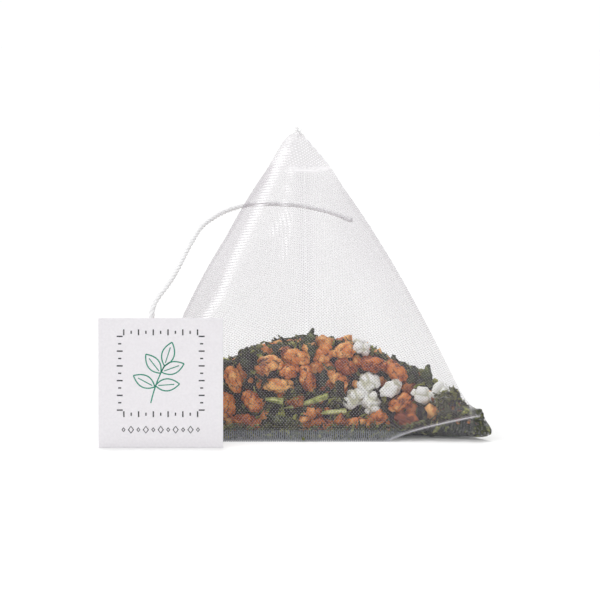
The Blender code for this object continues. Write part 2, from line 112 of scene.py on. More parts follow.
# Painted highlights on the film's folds, which also glow: (x, z) points in millimetres on the front wall,
# half width and strength
DASHED_FOLD_HIGHLIGHTS = (
    (((-3.9, 46.6), (-7.7, 38.5), (-10.8, 32.0), (-12.4, 28.7), (-14.4, 23.3), (-17.1, 19.4)), 0.95, 1.0),
    (((-3.0, 43.3), (-4.2, 36.0)), 0.5, 0.8),
)
SMOOTH_FOLD_HIGHLIGHTS = (
    (((-3.0, 43.6), (0.6, 43.3), (4.2, 43.8)), 0.55, 0.6),
    (((-2.6, 49.6), (-3.9, 46.6), (-5.6, 43.0)), 0.3, 0.7),
)
DOTTED_FOLD_HIGHLIGHTS = (
    (((-3.4, 36.4), (-6.0, 33.2)), 1.0, 0.9),
    (((-3.0, 35.6), (-4.2, 29.0)), 0.7, 0.9),
)
# The front wall's right outline, as (x, z) points too
RIGHT_EDGE = ((6.9, 39.6), (9.6, 35.4), (11.4, 32.2), (14.8, 25.8), (16.4, 22.6), (20.0, 16.0))
LEFT_PAINTED_SHADE = 0.10  # painted shade: how much darker the film is made left of its long dashed fold
RIGHT_PAINTED_SHADE = 0.06  # and near its right outline, also painted shade
TIP_LAYER_FROM = 43.6 * MM  # above this height the film lies double

# The tea
FROM_FILM = 0.13 * MM
HEAP_GAP = 0.16 * MM  # between the heap's skin and the film
DUST_TOP = 5 * MM  # below this height, fine tea fills the bag right up to the film
CORNER_FROM = 17 * MM
CORNER_STRETCH = 1.5
CORNER_DUST_FROM = 21 * MM
CORNER_DUST_TOP = 8 * MM
EDGE_DUST_REACH = 3 * MM  # from the front seal inwards
EDGE_DUST_TOP = 2.6 * MM
DUST_DEPTH = 1.1 * MM
DUST_DARK = 3200
DUST_OLIVE = 330
RICE_PIECES = 330
RICE_REACH = 3.2 * MM  # most of the pieces lie this near to a grain

# The tag
TAG_WIDTH = 20.1 * MM
TAG_HEIGHT = 20.9 * MM
TAG_THICKNESS = 0.35 * MM
TAG_MIDDLE_X = -23.8 * MM
TAG_FRONT_Y = -23.5 * MM
TAG_LEAN = math.radians(6)
INK_RAISE = 0.012  # millimetres
INK_SINK = 0.02  # millimetres, how deep the back of the print lies in the card

# The string
STRING_DIAMETER = 0.8 * MM
STRING_GLUED = 11 * MM
STRING_AT = -1.5 * MM
STRING_CLEARANCE = 0.3 * MM
PLY_COUNT = 3
PLY_PITCH = 2.6 * MM
PLY_RADIUS = STRING_DIAMETER * 0.31
PLY_OFF = STRING_DIAMETER * 0.26
STRING_STEP = 0.28 * MM
STRING_GLOW = 0.06
LOOSE_FIBRES = 70

# The picture
CAMERA_LENS = 150
CAMERA_SENSOR = 36
METRES_PER_PIXEL = 0.162 * MM
PICTURE_SIDE = 600
CAMERA_RISE = math.radians(7.0)
CAMERA_AIM = Vector((-1.36 * MM, -18.5 * MM, 23.4 * MM))
SKY_LIGHT = 0.45
SKY_SEEN = 1.02  # how bright the ground behind the bag looks
FLOOR_GLOW = 0.11
WHITE = (1, 1, 1, 1)

# The mottled materials: the noise's scale, the dark, middle and light colours, the roughness, the depth of
# the relief in millimetres, whether each bit has its own tint, and the colour of the painted shade in the
# cracks
MOTTLED = {
    "leaf_dark": (
        900, (0.010, 0.014, 0.004), (0.045, 0.056, 0.016), (0.20, 0.21, 0.06), 0.55, 0.06, True, None
    ),
    "leaf_olive": (900, (0.09, 0.11, 0.02), (0.28, 0.31, 0.05), (0.52, 0.52, 0.15), 0.6, 0.06, True, None),
    "roasted_rice": (
        800, (0.30, 0.06, 0.01), (0.72, 0.22, 0.035), (0.98, 0.54, 0.18), 0.4, 0.1, True, (0.1, 0.022, 0.008)
    ),
    "roasted_rice_bits": (
        800, (0.18, 0.04, 0.008), (0.56, 0.18, 0.03), (0.92, 0.50, 0.17), 0.55, 0.1, True, None
    ),
    "popped_rice": (
        900, (0.78, 0.78, 0.66), (0.96, 0.96, 0.93), (0.99, 0.99, 0.98), 0.65, 0.1, False, (0.6, 0.6, 0.42)
    ),
    "tea_stem": (900, (0.22, 0.26, 0.05), (0.52, 0.56, 0.17), (0.82, 0.84, 0.45), 0.6, 0.05, True, None),
    "leaf_flake": (
        900, (0.015, 0.022, 0.01), (0.06, 0.08, 0.03), (0.2, 0.23, 0.08), 0.6, 0.05, True,
        (0.01, 0.014, 0.008),
    ),
}


def add_to_scene(name, data):
    thing = bpy.data.objects.new(name, data)
    bpy.context.scene.collection.objects.link(thing)
    return thing


# Camera, lights and floor


def add_camera():
    distance = METRES_PER_PIXEL * PICTURE_SIDE * CAMERA_LENS / CAMERA_SENSOR
    away = Vector((0, -math.cos(CAMERA_RISE), math.sin(CAMERA_RISE)))
    data = bpy.data.cameras.new("camera")
    data.lens = CAMERA_LENS
    data.sensor_width = CAMERA_SENSOR
    data.clip_start = 0.01
    data.clip_end = 20
    camera = add_to_scene("camera", data)
    camera.location = CAMERA_AIM + away * distance
    camera.rotation_euler = (math.pi / 2 - CAMERA_RISE, 0, 0)
    bpy.context.scene.camera = camera


def add_softbox(name, place, aim, width, height, power):
    data = bpy.data.lights.new(name, "AREA")
    data.shape = "RECTANGLE"
    data.size = width
    data.size_y = height
    data.energy = power
    lamp = add_to_scene(name, data)
    lamp.location = place
    lamp.rotation_euler = (Vector(aim) - Vector(place)).to_track_quat("-Z", "Y").to_euler()


def add_sun(name, rise, swing, power, spread):
    """A very soft far light, rise above the table and swing to the left of the camera."""
    data = bpy.data.lights.new(name, "SUN")
    data.energy = power
    data.angle = math.radians(spread)
    rise, swing = math.radians(rise), math.radians(swing)
    towards = Vector(
        (-math.sin(swing) * math.cos(rise), -math.cos(swing) * math.cos(rise), math.sin(rise))
    )
    add_to_scene(name, data).rotation_euler = towards.to_track_quat("Z", "Y").to_euler()


def add_studio():
    scene = bpy.context.scene
    scene.view_settings.view_transform = "Standard"
    world = bpy.data.worlds.new("studio")
    world.use_nodes = True
    tree = world.node_tree
    seen = add_node(tree, "ShaderNodeLightPath").outputs["Is Camera Ray"]
    strength = math_node(tree, "MULTIPLY_ADD", seen, SKY_SEEN - SKY_LIGHT, SKY_LIGHT)
    fill_in(tree, tree.nodes["Background"], {"Color": WHITE, "Strength": strength})
    scene.world = world
    add_sun("key_sun", 50, 32, 0.65, 50)
    add_sun("top_sun", 77, 172, 1.4, 16)
    add_softbox("left_strip", (-0.36, -0.22, 0.36), (-0.01, -0.01, 0.03), 0.03, 0.24, 0.22)
    bpy.ops.mesh.primitive_plane_add(size=6, location=(0, 0, 0))
    floor = bpy.context.object
    floor.name = "floor"
    paint = Paint("floor_white")
    glow = {"Emission Color": WHITE, "Emission Strength": FLOOR_GLOW}
    floor.data.materials.append(paint.finished({"Base Color": (0.9, 0.9, 0.9, 1), "Roughness": 0.9, **glow}))


# Materials


class Paint:
    """A material being built, with its node tree."""

    def __init__(self, name):
        self.material = bpy.data.materials.new(name)
        self.material.use_nodes = True
        self.tree = self.material.node_tree

    def node(self, kind, inputs=None, **settings):
        return add_node(self.tree, kind, inputs, **settings)

    def place(self):
        return self.node("ShaderNodeTexCoord").outputs["Object"]

    def value(self, name):
        """A value that the mesh keeps at its points."""
        return self.node("ShaderNodeAttribute", attribute_name=name).outputs["Fac"]

    def speckle(self, scale, detail):
        return noise_node(self.tree, self.place(), scale, detail)

    def bump(self, strength, distance, height):
        inputs = {"Strength": strength, "Distance": distance, "Height": height}
        return self.node("ShaderNodeBump", inputs).outputs["Normal"]

    def finished(self, inputs):
        """The material, with its Principled shader's inputs filled in."""
        fill_in(self.tree, self.tree.nodes["Principled BSDF"], inputs)
        return self.material


def is_socket(value):
    return isinstance(value, bpy.types.NodeSocket)


def fill_in(tree, node, inputs):
    """Sets a node's inputs to values, or links them to sockets."""
    for key, value in inputs.items():
        if is_socket(value):
            tree.links.new(value, node.inputs[key])
        else:
            node.inputs[key].default_value = value


def add_node(tree, kind, inputs=None, **settings):
    node = tree.nodes.new(kind)
    for key, value in settings.items():
        setattr(node, key, value)
    fill_in(tree, node, inputs or {})
    return node


def math_node(tree, operation, first, second=0.0, third=0.0):
    return add_node(
        tree, "ShaderNodeMath", {0: first, 1: second, 2: third}, operation=operation
    ).outputs[0]


def joiner(operation):
    """A function that joins two or more values with one operation, from the left."""

    def join(tree, *values):
        return reduce(lambda first, second: math_node(tree, operation, first, second), values)

    return join


times, plus, most = joiner("MULTIPLY"), joiner("ADD"), joiner("MAXIMUM")


def less(tree, first, second):
    return math_node(tree, "SUBTRACT", first, second)


def off_middle(tree, place, pitch):
    """How far a place lies from the middle of its step: 0 at the middle and 0.5 at both ends."""
    share = math_node(tree, "FRACT", math_node(tree, "DIVIDE", place, pitch))
    return math_node(tree, "ABSOLUTE", less(tree, share, 0.5))


def noise_node(tree, place, scale, detail):
    inputs = {"Vector": place, "Scale": scale, "Detail": detail}
    return add_node(tree, "ShaderNodeTexNoise", inputs).outputs["Fac"]


def mix_colours(tree, share, first, second):
    first, second = (colour if is_socket(colour) else (*colour, 1) for colour in (first, second))
    return add_node(tree, "ShaderNodeMix", {0: share, 6: first, 7: second}, data_type="RGBA").outputs[2]


def ramp(tree, value, low, high):
    """A smooth step of value, from 0 at low to 1 at high."""
    inputs = {"Value": value, "From Min": low, "From Max": high}
    return add_node(tree, "ShaderNodeMapRange", inputs, interpolation_type="SMOOTHSTEP").outputs["Result"]


def new_group(name, inputs, outputs):
    """A node group with named sockets: None is for a place, a tuple for a colour and a float for a number."""
    group = bpy.data.node_groups.new(name, "ShaderNodeTree")
    kinds = {type(None): "NodeSocketVector", tuple: "NodeSocketColor", float: "NodeSocketFloat"}
    for way, sockets in (("INPUT", inputs), ("OUTPUT", outputs)):
        for label, value in sockets.items():
            socket = group.interface.new_socket(name=label, in_out=way, socket_type=kinds[type(value)])
            if way == "INPUT" and value is not None:
                socket.default_value = value
    return group, group.nodes.new("NodeGroupInput"), group.nodes.new("NodeGroupOutput")


def weave_group():
    """Plain weave on a flat map in metres: where the threads are, where every other crossing gets a painted
    glint, and how high they stand.
    """
    group, given, result = new_group(
        "plain_weave",
        {"Vector": None, "Warp Pitch": WARP_PITCH, "Weft Pitch": WEFT_PITCH, "Thread Share": 0.6},
        {"Threads": 0.0, "Dots": 0.0, "Height": 0.0},
    )
    vector, warp_pitch, weft_pitch, share = given.outputs[:4]
    parts = add_node(group, "ShaderNodeSeparateXYZ", {"Vector": vector}).outputs
    runs = []
    for place, pitch in ((parts["X"], warp_pitch), (parts["Y"], weft_pitch)):
        count = math_node(group, "DIVIDE", place, pitch)
        runs.append((count, times(group, off_middle(group, place, pitch), 2.0)))
    masks, heights, lines = [], [], []
    for (count, off), (other, _) in (runs, runs[::-1]):
        mask = ramp(group, off, times(group, share, 1.25), times(group, share, 0.7))
        row = math_node(group, "FLOOR", count)
        phase = times(group, plus(group, row, other), math.pi)
        wave = math_node(group, "MULTIPLY_ADD", math_node(group, "COSINE", phase), 0.3, 0.7)
        lines.append(row)
        masks.append(mask)
        heights.append(times(group, mask, wave))
    # Every other crossing is a dot where two threads overlap, which the material makes denser and paints
    # bright as a glint of the thread on top
    parity = math_node(group, "FRACT", times(group, plus(group, *lines), 0.5))
    dots = times(group, times(group, *masks), times(group, parity, 2.0))
    fill_in(group, result, {"Threads": plus(group, *masks), "Dots": dots, "Height": most(group, *heights)})
    return group


def mottle_group():
    """Two sizes of noise that drift a colour between a dark and a light one, with a matching height."""
    colours = {"Dark": (0.1, 0.1, 0.1, 1), "Middle": (0.5, 0.5, 0.5, 1), "Light": (0.8, 0.8, 0.8, 1)}
    group, given, result = new_group(
        "mottle", {"Vector": None, "Scale": 900.0, **colours, "Offset": 0.0}, {"Color": WHITE, "Height": 0.0}
    )
    vector, scale, dark, middle, light, offset = given.outputs[:6]
    broad = noise_node(group, vector, scale, 5.0)
    fine = noise_node(group, vector, times(group, scale, 3.7), 3.0)
    mixed = plus(group, broad, math_node(group, "MULTIPLY_ADD", fine, 0.4, -0.2), offset)
    low = mix_colours(group, ramp(group, mixed, 0.28, 0.5), dark, middle)
    colour = mix_colours(group, ramp(group, mixed, 0.5, 0.72), low, light)
    fill_in(group, result, {"Color": colour, "Height": mixed})
    return group


def mesh_material(weave):
    paint = Paint("woven_mesh")
    tree = paint.tree
    uv = paint.node("ShaderNodeUVMap", uv_map="film").outputs["UV"]
    place = paint.node("ShaderNodeVectorMath", {0: uv, 1: (FILM_WIDTH,) * 3}, operation="MULTIPLY").outputs[0]
    threads = paint.node("ShaderNodeGroup", {"Vector": place}, node_tree=weave).outputs
    parts = paint.node("ShaderNodeSeparateXYZ", {"Vector": place}).outputs
    across, along = parts["X"], parts["Y"]
    seal = ramp(tree, math_node(tree, "ABSOLUTE", less(tree, along, SEAL_WIDTH / 2)), 0.2 * MM, 0.08 * MM)
    back_seal = ramp(tree, along, FILM_LENGTH - 2.5 * MM, FILM_LENGTH - 1.2 * MM)
    # The painted fold highlights and the painted shade come from the film's points, with its low wall, corner
    # dust and double tip
    dashed, smooth, dotted, painted_shade, low, corner, tip = (paint.value(name) for name in film_values())
    cloud = math_node(tree, "MULTIPLY_ADD", paint.speckle(75.0, 1.0), 0.07, FILM_SHADE - 0.035)
    # painted shade by the left fold and the right outline is added to the film's own shade
    shade = plus(tree, cloud, painted_shade)
    alpha = plus(tree, shade, 0.004)
    # the film is denser over its threads, at the crossings with their painted glints, and on its double tip
    for value, share in ((threads["Threads"], THREAD_SHADE), (threads["Dots"], GLINT_SHADE), (tip, TIP_SHADE)):
        alpha = math_node(tree, "MULTIPLY_ADD", value, share, alpha)
    # Painted highlights: bright dashes across the folds, and bright dots where two folds meet
    rows, columns = (ramp(tree, off_middle(tree, way, DASH_PITCH), 0.32, 0.18) for way in (along, across))
    dotted = times(tree, dotted, times(tree, rows, columns))
    dashed = times(tree, dashed, math_node(tree, "MULTIPLY_ADD", rows, 0.96, 0.04))
    fold = most(tree, dashed, dotted, smooth)
    # The ribs that show where the film is drawn tight, low down
    rib = ramp(tree, off_middle(tree, across, RIB_PITCH), 0.3, 0.2)
    rib = times(tree, low, math_node(tree, "MULTIPLY_ADD", rib, 0.6, 0.08))
    # Fine dust that clings in the corner
    specks = paint.speckle(1400.0, 2.0)
    dusty = times(tree, ramp(tree, specks, 0.34, 0.5), corner)
    alpha = most(tree, alpha, times(tree, seal, 0.45), times(tree, fold, 0.92), rib, times(tree, dusty, 0.9))
    # The brighter the denser, so that over a white ground the threads only leave a light grey
    shine = less(tree, 1.0, math_node(tree, "DIVIDE", shade, alpha))
    # painted highlight: the fold highlights are painted white
    shine = most(tree, shine, fold, times(tree, tip, 0.85))
    shine = times(tree, shine, less(tree, 1.0, times(tree, back_seal, less(tree, 1.0, tip))))
    colour = mix_colours(tree, shine, (0.09, 0.01, 0.09), (0.95, 0.935, 0.95))
    colour = mix_colours(tree, ramp(tree, rib, 0.1, 0.3), colour, (0.38, 0.40, 0.43))
    dust = mix_colours(tree, ramp(tree, specks, 0.5, 0.66), (0.03, 0.034, 0.02), (0.22, 0.23, 0.10))
    return paint.finished({
        "Base Color": mix_colours(tree, dusty, colour, dust),
        # painted highlight: the fold highlights also glow
        "Emission Color": mix_colours(tree, times(tree, fold, FOLD_GLOW), (0, 0, 0), (1, 1, 1)),
        "Emission Strength": 1.0,
        "Alpha": alpha,
        "Normal": paint.bump(0.12, 0.06 * MM, threads["Height"]),
        "Roughness": 0.35,
        "Specular IOR Level": 0.35,
    })


def mottled_material(mottle, name):
    """A dull natural surface. Tinted bits drift by their tint attribute, and painted shade darkens the cracks
    along the relief.
    """
    scale, dark, middle, light, roughness, depth, tinted, cracks = MOTTLED[name]
    paint = Paint(name)
    colours = {"Dark": (*dark, 1), "Middle": (*middle, 1), "Light": (*light, 1)}
    inputs = {"Vector": paint.place(), "Scale": scale, **colours}
    if tinted:
        inputs["Offset"] = math_node(paint.tree, "MULTIPLY_ADD", paint.value("tint"), 0.36, -0.18)
    spots = paint.node("ShaderNodeGroup", inputs, node_tree=mottle).outputs
    colour = spots["Color"]
    # painted shade: the cracks between the lobes are darkened
    if cracks:
        colour = mix_colours(paint.tree, ramp(paint.tree, paint.value("relief"), 0.0, 0.5), cracks, colour)
    normal = paint.bump(0.8, depth * MM, spots["Height"])
    return paint.finished({"Base Color": colour, "Normal": normal, "Roughness": roughness})


def fibre_material(name, scale, detail, colours, strength, depth, inputs):
    """A surface of fine fibres between two colours."""
    paint = Paint(name)
    fibres = paint.speckle(scale, detail)
    colour = mix_colours(paint.tree, ramp(paint.tree, fibres, 0.3, 0.7), *colours)
    return paint.finished({"Base Color": colour, "Normal": paint.bump(strength, depth, fibres), **inputs})


def string_material():
    glow = {"Emission Color": WHITE, "Emission Strength": STRING_GLOW}
    colours = ((0.84, 0.84, 0.85), (0.97, 0.97, 0.97))
    inputs = {"Roughness": 0.85, "Sheen Weight": 0.2, **glow}
    return fibre_material("cotton_string", 5200.0, 4.0, colours, 0.6, 0.05 * MM, inputs)


def paper_material():
    colours = ((0.91, 0.885, 0.915), (0.95, 0.925, 0.955))
    return fibre_material("tag_paper", 2600.0, 6.0, colours, 0.25, 0.03 * MM, {"Roughness": 0.8})


def ink_material(name, colour):
    """Ink that the paper shows through a little, in patches."""
    paint = Paint(name)
    thin = tuple(channel + (0.9 - channel) * 0.15 for channel in colour)
    shade = mix_colours(paint.tree, ramp(paint.tree, paint.speckle(4200.0, 3.0), 0.45, 0.75), colour, thin)
    return paint.finished({"Base Color": shade, "Roughness": 0.7})


# Shared mesh work


def add_piece(name, mesh, material, node=None):
    """A finished piece that rides on the one body, in the place of a solid if a node is named."""
    piece = add_to_scene(name, mesh)
    mesh.materials.append(material)
    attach(piece, "root")
    if node:
        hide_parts(node)
    return piece


def lean(point):
    """Moves a point of the upright tetrahedron to where the real, leaning and swollen bag has it."""
    rise = min(max(point.z / HEIGHT, 0), 1)
    out = min(abs(point.x) / max(BAG_EDGE / 2 * (1 - rise), 0.18 * MM), SWELL_MOST)
    swell = (SWELL_RIGHT if point.x > 0 else -SWELL_LEFT) * 4 * rise**SWELL_POWER * (1 - rise)
    if point.x < 0:
        swell -= LEFT_SHOULDER * min(1, (1 - rise) / 0.035) * min(1, max(0, (rise - 0.1) / 0.3))
    above_tip = max(0, point.z - (HEIGHT - TIP_LENGTH))
    moved = point.copy()
    moved.x += APEX_SHIFT * point.z / HEIGHT + swell * out - TIP_LEFT * above_tip
    moved.y += TIP_BACK * above_tip
    return moved


# The string


def string_route():
    """The string's middle line: up the tag's back, over to the bag and round behind its apex."""
    off_tag = TAG_THICKNESS + STRING_CLEARANCE + STRING_DIAMETER / 2
    glued = [TAG_HEIGHT - STRING_GLUED * share for share in (1, 0.66, 0.33, 0.06)]
    route = [tag_place() @ Vector((STRING_AT, off_tag, height)) for height in glued]
    free = (
        (-24.9, -19.2, 22.9), (-22.4, -15.0, 26.3), (-20.8, -11.0, 29.1), (-19.3, -7.0, 31.9),
        (-17.6, -2.6, 34.1), (-14.6, 1.8, 35.8), (-10.9, 6.0, 36.7), (-7.2, 9.3, 36.7),
        (-4.1, 11.6, 36.4), (-1.1, 12.6, 36.1), (2.8, 9.2, 35.6), (5.3, 6.5, 35.0), (7.4, 4.2, 34.3),
    )
    return route + [Vector(point) * MM for point in free]


def smooth_route(route, spacing):
    """Points at even spacing along a smooth curve through the route."""
    dense = []
    for index in range(len(route) - 1):
        before = route[max(index - 1, 0)]
        start, end = route[index], route[index + 1]
        after = route[min(index + 2, len(route) - 1)]
        for step in range(20):
            t = step / 20
            line = 2 * start + (end - before) * t + (2 * before - 5 * start + 4 * end - after) * t**2
            dense.append((line + (3 * start - before - 3 * end + after) * t**3) / 2)
    dense.append(route[-1])
    lengths = [0.0]
    for start, end in zip(dense, dense[1:]):
        lengths.append(lengths[-1] + (end - start).length)
    count = max(2, round(lengths[-1] / spacing))
    points = []
    index = 0
    for step in range(count + 1):
        target = lengths[-1] * step / count
        while index < len(dense) - 2 and lengths[index + 1] < target:
            index += 1
        share = (target - lengths[index]) / (lengths[index + 1] - lengths[index])
        points.append(dense[index].lerp(dense[index + 1], share))
    return points


def ways_across(centres, aside):
    """At each centre of a route, two ways square to it that don't twist along it."""
    for index in range(len(centres)):
        ahead = centres[min(index + 1, len(centres) - 1)] - centres[max(index - 1, 0)]
        ahead.normalize()
        aside = (aside - ahead * aside.dot(ahead)).normalized()
        yield aside, ahead.cross(aside)


def skin_rings(bm, rings, closed=False):
    """Faces from each ring of points to the next, with both ends covered unless the row is closed."""
    for lower, upper in list(zip(rings, rings[1:])) + ([(rings[-1], rings[0])] if closed else []):
        for side in range(len(lower)):
            after = (side + 1) % len(lower)
            bm.faces.new((lower[side], lower[after], upper[after], upper[side]))
    if not closed:
        bm.faces.new(rings[0][::-1])
        bm.faces.new(rings[-1])


def add_tube(bm, centres, radii, sides):
    """A closed tube through the centres."""
    rings = []
    for centre, radius, (aside, over) in zip(centres, radii, ways_across(centres, Vector((0, 0, 1)))):
        ring = []
        for side in range(sides):
            turn = 2 * math.pi * side / sides
            ring.append(bm.verts.new(centre + (aside * math.cos(turn) + over * math.sin(turn)) * radius))
        rings.append(ring)
    skin_rings(bm, rings)


def finish_mesh(name, bm, smooth=True):
    bmesh.ops.recalc_face_normals(bm, faces=bm.faces[:])
    mesh = bpy.data.meshes.new(name)
    bm.to_mesh(mesh)
    bm.free()
    if smooth:
        mesh.shade_smooth()
    return mesh


def random_way(rng):
    return Vector([rng.uniform(-1, 1) for _ in range(3)])


def add_string(material):
    """Three twisted plies along the route, with loose fibres."""
    path = smooth_route(string_route(), STRING_STEP)
    length = sum((end - start).length for start, end in zip(path, path[1:]))
    bm = bmesh.new()
    rng = random.Random(5)
    plies = [[] for _ in range(PLY_COUNT)]
    for index, (centre, (aside, over)) in enumerate(zip(path, ways_across(path, Vector((0, 1, 0))))):
        for ply, centres in enumerate(plies):
            turn = 2 * math.pi * (index * STRING_STEP / PLY_PITCH + ply / PLY_COUNT)
            centres.append(centre + (aside * math.cos(turn) + over * math.sin(turn)) * PLY_OFF)
    for centres in plies:
        radii = [PLY_RADIUS * (1 + 0.12 * noise.noise(centre * 900)) for centre in centres]
        add_tube(bm, centres, radii, 8)
    for _ in range(LOOSE_FIBRES):
        start = path[rng.randrange(12, len(path) - 12)]
        way = random_way(rng).normalized()
        bend = random_way(rng) * 0.15 * MM
        reach = rng.uniform(0.45, 0.62) * MM
        hair = [start + way * reach * share + bend * share * share for share in (0.5, 0.75, 1.0)]
        add_tube(bm, hair, [0.012 * MM, 0.010 * MM, 0.006 * MM], 3)
    piece = add_piece("string_twist", finish_mesh("string_twist", bm), material, "string")
    tuple(path[-1])
    [tuple(point) for point in path[::-1]]


# The mesh bag


def mesh_tree(mesh):
    bm = bmesh.new()
    bm.from_mesh(mesh)
    tree = BVHTree.FromBMesh(bm)
    bm.free()
    return tree


def corner_lift(x, along):
    """How far the front seal stands off the table, which is most at its right end."""
    start = CORNER_LIFT_FROM * BAG_EDGE / 2
    share = max(0, (abs(x) - start) / (BAG_EDGE / 2 - start))
    most, power = (CORNER_LIFT_RIGHT, 0.6) if x > 0 else (CORNER_LIFT_LEFT, 1.3)
    share *= share / (share + 0.04) if share else 0
    return most * share**power * math.exp(-((max(along, 0) / CORNER_LIFT_REACH) ** 2))


def shape_corner(point, along):
    """Draws in the lifted end of the front seal and lets the film below it hang forward to the table."""
    past = max(along, 0)
    share = min(max(point.x, 0) / (BAG_EDGE / 2 * (1 - 0.8 * min(past, 1))), 1.1) ** 3
    tuck = CORNER_TUCK * math.exp(-((past / CORNER_TUCK_REACH) ** 2))
    belly = (past / CORNER_BELLY_AT * math.exp(1 - past / CORNER_BELLY_AT)) ** 1.5
    belly *= math.exp(-((point.z / CORNER_BELLY_HEIGHT) ** 2))
    push_x, push_y = CORNER_BELLY
    return point + share * Vector((push_x * belly - tuck, push_y * belly, 0))


def tube_outline(along):
    """The tube's ring at a place along it, as fine points from the middle of the front wall round."""
    inside = min(max(along, 0), 1)
    half_across = max((1 - inside) * BAG_EDGE / 2, SEAL_HALF_GAP)
    half_up = max(inside * SEAL_HALF, SEAL_HALF_GAP)
    radii = [min(radius, FOLD_SHARE * half_across, FOLD_SHARE * half_up) for radius in FOLD_RADII]
    fade = min(1, inside / 0.15, (1 - inside) / 0.15)
    sides = (
        (0, 1, half_across, half_up),
        (1, 0, half_up, half_across),
        (0, -1, half_across, half_up),
        (-1, 0, half_up, half_across),
    )
    ring = []
    for wall, (out_across, out_up, half_length, half_depth) in enumerate(sides):
        along_across, along_up = out_up, -out_across
        before, after = radii[wall - 1], radii[wall]
        for step in range(17):
            share = 2 * step / 16 - 1
            run = before - half_length + (2 * half_length - before - after) * step / 16
            reach = half_depth + WALL_PUFF * 2 * half_length * fade * (1 - share * share)
            ring.append((along_across * run + out_across * reach, along_up * run + out_up * reach))
        for step in range(1, 6):
            turn = math.radians(90 * step / 6)
            run = half_length - after + after * math.sin(turn)
            reach = half_depth - after + after * math.cos(turn)
            ring.append((along_across * run + out_across * reach, along_up * run + out_up * reach))
    return np.array(ring[8:] + ring[:9])


def film_points():
    """The film's points, row by row from the front seal, wound once round the tube with its lap."""
    rows = []
    seal_share = SEAL_WIDTH / (TUBE_END - TUBE_START).length
    for row in range(FILM_ROWS + 1):
        along = -seal_share + (1 + 2 * seal_share) * row / FILM_ROWS
        ring = tube_outline(along)
        steps = np.hypot(*np.diff(ring, axis=0).T)
        lengths = np.concatenate([[0], np.cumsum(steps)])
        round_it = lengths[-1]
        points = []
        centre = TUBE_START.lerp(TUBE_END, along)
        for column in range(FILM_COLUMNS + 1):
            across_film = FILM_WIDTH * column / FILM_COLUMNS
            turn = ((across_film - LAP / 2 + LAP_MIDDLE) / TUBE_ROUND) % 1
            across = float(np.interp(turn * round_it, lengths, ring[:, 0]))
            up = float(np.interp(turn * round_it, lengths, ring[:, 1]))
            lapped = min(1, max(0, (across_film - TUBE_ROUND) / LAP))
            up += LAP_RAISE * lapped
            point = centre + Vector((across, 0, 0)) + SEAL_AXIS * up
            point.z += corner_lift(point.x, along)
            point = lean(shape_corner(point, along))
            point.z = max(point.z, 0.02 * MM)
            points.append(point)
        rows.append(points)
    return rows


def film_values():
    """What the film keeps at its points, each as a name and a function of the point's place."""
    return {
        "fold_dashed": lambda point: highlight_share(point, DASHED_FOLD_HIGHLIGHTS),
        "fold_smooth": lambda point: highlight_share(point, SMOOTH_FOLD_HIGHLIGHTS),
        "fold_dotted": lambda point: highlight_share(point, DOTTED_FOLD_HIGHLIGHTS),
        "fold_dim": fold_dim,
        "low_wall": low_wall,
        "corner_dust": corner_dust,
        "tip_layer": lambda point: min(1, max(0, (point.z - TIP_LAYER_FROM) / (0.3 * MM))),
    }


def add_mesh_bag(material):
    bm = bmesh.new()
    layer = bm.loops.layers.uv.new("film")
    rows = [[bm.verts.new(point) for point in row] for row in film_points()]
    for row in range(FILM_ROWS):
        for column in range(FILM_COLUMNS):
            corners = [(column + right, row + up) for right, up in ((0, 0), (1, 0), (1, 1), (0, 1))]
            face = bm.faces.new([rows[up][right] for right, up in corners])
            for loop, (right, up) in zip(face.loops, corners):
                loop[layer].uv = (right / FILM_COLUMNS, up / FILM_ROWS * FILM_LENGTH / FILM_WIDTH)
            face.smooth = True
    mesh = bpy.data.meshes.new("bag_film")
    bm.to_mesh(mesh)
    bm.free()
    for name, value in film_values().items():
        keep_value(mesh, name, [value(vertex.co) for vertex in mesh.vertices])
    middle = Vector((0, 0, HEIGHT / 3))
    if sum((polygon.center - middle).dot(polygon.normal) for polygon in mesh.polygons) < 0:
        mesh.flip_normals()
    piece = add_piece("bag_film", mesh, material, "mesh_bag")
    return mesh, mesh_tree(mesh)


def keep_value(mesh, name, values):
    mesh.attributes.new(name, "FLOAT", "POINT").data.foreach_set("value", values)


def on_front_wall(point):
    return point.y < -INRADIUS + point.z * INRADIUS / HEIGHT + 3.5 * MM


def smooth_step(value, low, high):
    share = min(1, max(0, (value - low) / (high - low)))
    return share * share * (3 - 2 * share)


def highlight_share(point, lines):
    """How strong the painted highlight is at a point of the film, near some of the folds of its front wall.
    """
    if not on_front_wall(point):
        return 0
    most = 0
    here = Vector((point.x, point.z))
    for line, half_width, strength in lines:
        for start, end in zip(line, line[1:]):
            start, end = Vector(start) * MM, Vector(end) * MM
            share = min(1, max(0, (here - start).dot(end - start) / (end - start).length_squared))
            off = (here - start.lerp(end, share)).length / (half_width * MM)
            most = max(most, strength * math.exp(-off * off))
    return most


def line_x(line, z):
    """Where a line of (x, z) points in millimetres lies at a height."""
    heights = [height for _, height in line]
    places = [place for place, _ in line]
    return float(np.interp(z / MM, heights[::-1], places[::-1])) * MM


def fold_dim(point):
    """Painted shade: how much darker the film is made left of its fold, and near its right outline."""
    if not on_front_wall(point):
        return 0
    left = smooth_step(line_x(DASHED_FOLD_HIGHLIGHTS[0][0], point.z) - point.x, -0.2 * MM, 0.8 * MM)
    left *= smooth_step(point.z, 8 * MM, 19 * MM)
    right = smooth_step(point.x - line_x(RIGHT_EDGE, point.z), -8 * MM, 0)
    right *= smooth_step(point.z, 12 * MM, 22 * MM) * (1 - smooth_step(point.z, 38 * MM, 44 * MM))
    return LEFT_PAINTED_SHADE * left + RIGHT_PAINTED_SHADE * right


